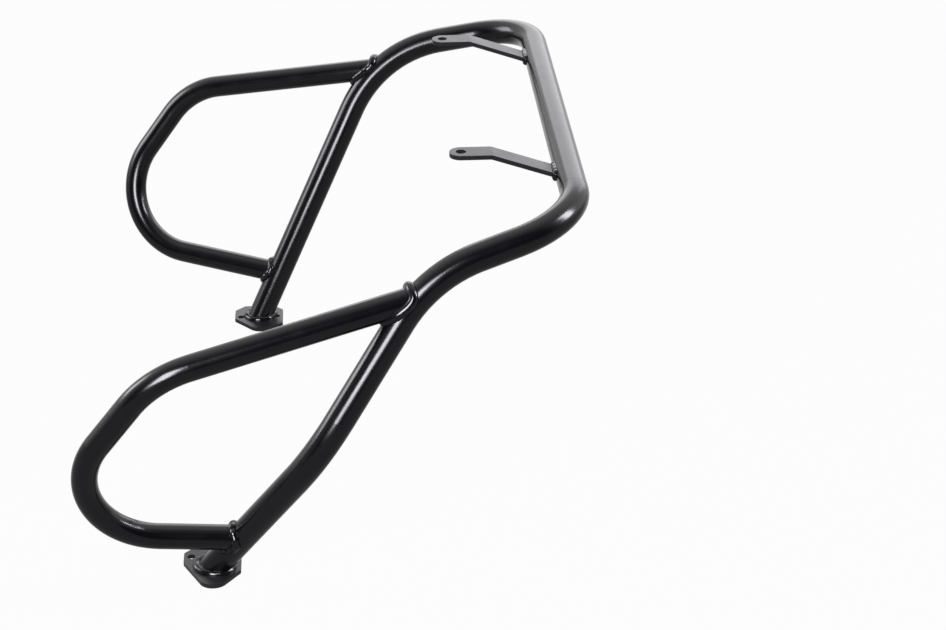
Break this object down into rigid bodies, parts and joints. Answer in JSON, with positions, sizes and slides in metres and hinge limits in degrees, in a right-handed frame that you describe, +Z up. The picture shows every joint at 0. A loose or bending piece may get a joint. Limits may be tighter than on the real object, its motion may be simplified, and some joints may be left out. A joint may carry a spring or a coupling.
{
  "type": "motorcycle crash bars",
  "caption": "Bent tube hoop in satin black with a protective loop on each side, a bolt-on foot plate under each leg and flat frame brackets behind the crossbar.",
  "frame": {"origin": "middle of the crossbar, on its axis", "axes": "+X to the rider's right along the crossbar, +Y forward, +Z up as mounted on the motorcycle"},
  "size_m": [0.665, 0.4374, 0.3345],
  "materials": {
    "black_coat": "satin black powder coat on steel tube and plate",
    "coated_weld": "gloss black powder coat over weld bead"
  },
  "bodies": {
    "root": {"main_hoop": "black_coat", "right_loop": "black_coat", "left_loop": "black_coat", "right_foot_plate": "black_coat", "left_foot_plate": "black_coat", "right_bracket": "black_coat", "left_bracket": "black_coat", "right_upper_weld": "coated_weld", "right_lower_weld": "coated_weld", "left_upper_weld": "coated_weld", "left_lower_weld": "coated_weld", "right_foot_weld": "coated_weld", "left_foot_weld": "coated_weld", "right_bracket_weld": "coated_weld", "left_bracket_weld": "coated_weld"}
  },
  "joints": []
}
